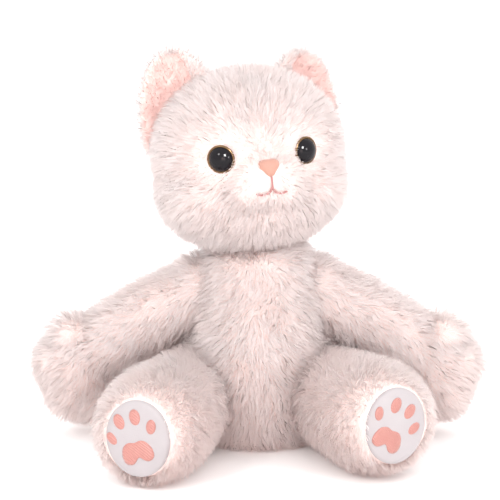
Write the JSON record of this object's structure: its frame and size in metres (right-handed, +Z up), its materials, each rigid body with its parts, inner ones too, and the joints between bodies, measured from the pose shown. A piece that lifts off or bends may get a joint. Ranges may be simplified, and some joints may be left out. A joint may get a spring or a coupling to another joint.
{
  "type": "plush cat",
  "caption": "Seated white long-pile plush cat with pink-lined ears, embroidered paw prints and turning head, arms and legs.",
  "frame": {"origin": "middle of the flat seat, on the ground", "axes": "+Z up, the cat faces -Y, +X to the cat's own left"},
  "size_m": [0.2604, 0.2562, 0.235],
  "materials": {
    "white_fur": "matte",
    "pink_plush": "matte",
    "sole_cloth": "satin",
    "pink_thread": "satin",
    "nose_flock": "matte",
    "eye_black": "gloss",
    "eye_gold": "gloss",
    "plastic": "satin",
    "stuffing": "matte",
    "pellet_cloth": "matte"
  },
  "bodies": {
    "torso": {"body_front_pelt": "white_fur", "body_back_pelt": "white_fur", "body_stuffing": "stuffing", "pellet_bag": "pellet_cloth", "neck_washer": "plastic", "neck_lock": "plastic", "left_shoulder_washer": "plastic", "left_shoulder_lock": "plastic", "right_shoulder_washer": "plastic", "right_shoulder_lock": "plastic", "left_hip_washer": "plastic", "left_hip_lock": "plastic", "right_hip_washer": "plastic", "right_hip_lock": "plastic"},
    "head": {"head_left_pelt": "white_fur", "head_right_pelt": "white_fur", "head_gusset": "white_fur", "head_stuffing": "stuffing", "neck_joint": "plastic", "left_ear_back": "white_fur", "left_ear_lining": "pink_plush", "right_ear_back": "white_fur", "right_ear_lining": "pink_plush", "left_eye": "eye_black", "left_eye_rim": "eye_gold", "left_eye_washer": "plastic", "right_eye": "eye_black", "right_eye_rim": "eye_gold", "right_eye_washer": "plastic", "nose": "nose_flock", "mouth_stitching": "pink_thread"},
    "left_arm": {"left_arm_front_pelt": "white_fur", "left_arm_back_pelt": "white_fur", "left_arm_stuffing": "stuffing", "left_shoulder_joint": "plastic"},
    "right_arm": {"right_arm_front_pelt": "white_fur", "right_arm_back_pelt": "white_fur", "right_arm_stuffing": "stuffing", "right_shoulder_joint": "plastic"},
    "left_leg": {"left_leg_outer_pelt": "white_fur", "left_leg_inner_pelt": "white_fur", "left_leg_stuffing": "stuffing", "left_sole_patch": "sole_cloth", "left_main_pad": "pink_thread", "left_toe_pads": "pink_thread", "left_hip_joint": "plastic"},
    "right_leg": {"right_leg_outer_pelt": "white_fur", "right_leg_inner_pelt": "white_fur", "right_leg_stuffing": "stuffing", "right_sole_patch": "sole_cloth", "right_main_pad": "pink_thread", "right_toe_pads": "pink_thread", "right_hip_joint": "plastic"},
    "tail": {"tail_pelt": "white_fur", "tail_stuffing": "stuffing"}
  },
  "joints": [
    {"name": "neck_turn", "type": "hinge", "parent": "torso", "child": "head", "pos_m": [-0.002, -0.002, 0.117], "axis": [0, 0, 1], "range_deg": [-90, 65]},
    {"name": "left_shoulder", "type": "hinge", "parent": "torso", "child": "left_arm", "pos_m": [0.03115, 0, 0.0885], "axis": [-1, 0, 0], "range_deg": [-60, 120]},
    {"name": "right_shoulder", "type": "hinge", "parent": "torso", "child": "right_arm", "pos_m": [-0.03115, 0, 0.0885], "axis": [-1, 0, 0], "range_deg": [-60, 120]},
    {"name": "left_hip", "type": "hinge", "parent": "torso", "child": "left_leg", "pos_m": [0.03715, -0.006, 0.031], "axis": [-1, 0, 0], "range_deg": [-90, 25]},
    {"name": "right_hip", "type": "hinge", "parent": "torso", "child": "right_leg", "pos_m": [-0.03715, -0.013, 0.031], "axis": [-1, 0, 0], "range_deg": [-90, 25]},
    {"name": "tail_swing", "type": "hinge", "parent": "torso", "child": "tail", "pos_m": [0, 0.0503, 0.016], "axis": [0, 0, 1], "range_deg": [-35, 35]}
  ]
}
